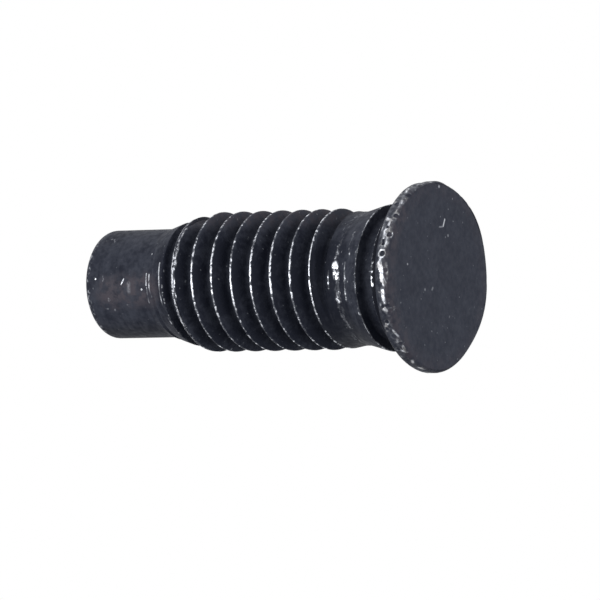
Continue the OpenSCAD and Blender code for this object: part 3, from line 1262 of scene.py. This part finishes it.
def make_floor(name, hole_radius, radius, material, in_light):
    """A ring of floor just under the head's face, either part of the light or only seen by the camera."""
    bm = bmesh.new()
    bmesh.ops.create_circle(bm, cap_ends=False, radius=hole_radius, segments=FLOOR_SEGMENTS)
    made = bmesh.ops.extrude_edge_only(bm, edges=bm.edges[:])
    outer = [item for item in made["geom"] if isinstance(item, bmesh.types.BMVert)]
    scale = radius / hole_radius
    bmesh.ops.scale(bm, vec=(scale, scale, 1), verts=outer)
    bmesh.ops.recalc_face_normals(bm, faces=bm.faces[:])
    if bm.faces[:][0].normal.z < 0:
        bmesh.ops.reverse_faces(bm, faces=bm.faces[:])
    floor = object_from(bm, name, material)
    floor.location.z = -FLOOR_GAP
    floor.visible_shadow = False
    floor.visible_diffuse = floor.visible_glossy = floor.visible_transmission = in_light


def place_facing(name, data, target, azimuth, elevation, distance):
    """A lamp or camera that faces its target, from a direction given in radians and a distance."""
    level = math.cos(elevation)
    back = Vector((math.sin(azimuth) * level, -math.cos(azimuth) * level, math.sin(elevation)))
    placed = bpy.data.objects.new(name, data)
    placed.location = target + back * distance
    placed.rotation_mode = "QUATERNION"
    placed.rotation_quaternion = (-back).to_track_quat("-Z", "Y")
    bpy.context.scene.collection.objects.link(placed)
    return placed


def add_lamp(target, name, azimuth, elevation, distance, width, height, power):
    """A soft rectangular lamp that faces the target."""
    data = bpy.data.lights.new(name, "AREA")
    data.shape = "RECTANGLE"
    data.size, data.size_y = width, height
    data.energy = power
    place_facing(name, data, target, math.radians(azimuth), math.radians(elevation), distance)


def make_world():
    """White behind the stud and in its reflections, and a plain grey light from all sides."""
    world = bpy.data.worlds.new("studio")
    bpy.context.scene.world = world
    world.use_nodes = True
    tree = world.node_tree
    background = tree.nodes["Background"]
    path = add_node(tree, "ShaderNodeLightPath").outputs
    seen = largest(tree, path["Is Glossy Ray"], path["Is Transmission Ray"], path["Is Camera Ray"])
    tree.links.new(blend(tree, seen, ROOM_LIGHT, WHITE), background.inputs["Color"])
    background.inputs["Strength"].default_value = 1.0


def make_camera(stage):
    """The camera at the photograph's viewing angle, which looks up at the head's face."""
    data = bpy.data.cameras.new("camera")
    data.lens = stage.camera_lens
    data.sensor_width = SENSOR_WIDTH
    data.clip_start, data.clip_end = CLIP_START, CLIP_END
    aim = Vector((stage.aim_side, 0, stage.aim_height))
    direction = (stage.camera_azimuth, stage.camera_elevation)
    camera = place_facing("camera", data, aim, *direction, stage.camera_distance)
    roll = Quaternion((0, 0, 1), stage.camera_roll)
    camera.rotation_quaternion = camera.rotation_quaternion @ roll
    bpy.context.scene.camera = camera


# Operators, panel and registration


class STUD_OT_make_stud(Operator):
    """Build the blackened stud in the place of the frame's solid"""

    bl_idname = "stud.make_stud"
    bl_label = "Make the stud"

    def execute(self, context):
        size = in_millimetres(context.scene.stud_sizes)
        bm = bmesh.new()
        rub = bm.verts.layers.float.new("rub")
        pit = bm.verts.layers.float.new("pit")
        low, high = thread_mesh(bm, size, rub)
        head_end = lathe_part(lambda part: head_end_wire(part, size, low - RING_GAP), HEAD_STEPS)
        raise_ribs(head_end, size)
        add_part(bm, head_end)
        add_part(bm, lathe_part(lambda part: dog_end_wire(part, size, high + RING_GAP), DOG_STEPS))
        rub = bm.verts.layers.float["rub"]
        pit = bm.verts.layers.float["pit"]
        for first, second in ((low - RING_GAP, low), (high, high + RING_GAP)):
            bmesh.ops.bridge_loops(bm, edges=ring_edges(bm, first) + ring_edges(bm, second))
        mark_head_end(bm, size, rub, low)
        paint_marks(bm, size, rub)
        dent_rim(bm, size, pit)
        finish_piece(bm, "blackened_stud", blackened_steel(context.scene.stud_finish))
        return {"FINISHED"}


class STUD_OT_make_stage(Operator):
    """Set up the floor, the lamps, the white background and the camera"""

    bl_idname = "stud.make_stage"
    bl_label = "Make the stage"

    def execute(self, context):
        stage = context.scene.stud_stage
        sizes = context.scene.stud_sizes
        hole = sizes.head_radius * HOLE_SHARE
        pale = one_sided_floor(stage.floor_colour)
        make_floor("floor", hole, stage.floor_size, pale, in_light=True)
        make_floor("floor_under_rim", sizes.head_radius * RING_SHARE, hole, pale, in_light=False)
        make_world()
        middle = Vector((0, 0, sizes.overall_length / 2))
        for lamp in LAMPS:
            add_lamp(middle, *lamp)
        make_camera(stage)
        context.scene.view_settings.view_transform = "Standard"
        return {"FINISHED"}


class STUD_PT_sidebar(Panel):
    """Sizes, colours and buttons of the stud"""

    bl_label = "Self-clinching stud"
    bl_idname = "STUD_PT_sidebar"
    bl_space_type = "VIEW_3D"
    bl_region_type = "UI"
    bl_category = "Stud"

    def draw(self, context):
        layout = self.layout
        layout.operator(STUD_OT_make_stud.bl_idname)
        layout.operator(STUD_OT_make_stage.bl_idname)
        for group in (context.scene.stud_sizes, context.scene.stud_finish, context.scene.stud_stage):
            box = layout.box()
            for key in group.__annotations__:
                box.prop(group, key)


CLASSES = (StudSizes, StudFinish, StageSettings, STUD_OT_make_stud, STUD_OT_make_stage, STUD_PT_sidebar)


def register():
    for cls in CLASSES:
        bpy.utils.register_class(cls)
    bpy.types.Scene.stud_sizes = PointerProperty(type=StudSizes)
    bpy.types.Scene.stud_finish = PointerProperty(type=StudFinish)
    bpy.types.Scene.stud_stage = PointerProperty(type=StageSettings)


def unregister():
    del bpy.types.Scene.stud_stage
    del bpy.types.Scene.stud_finish
    del bpy.types.Scene.stud_sizes
    for cls in reversed(CLASSES):
        bpy.utils.unregister_class(cls)


def main():
    register()
    bpy.ops.stud.make_stud()
    bpy.ops.stud.make_stage()


if __name__ == "__main__":
    main()
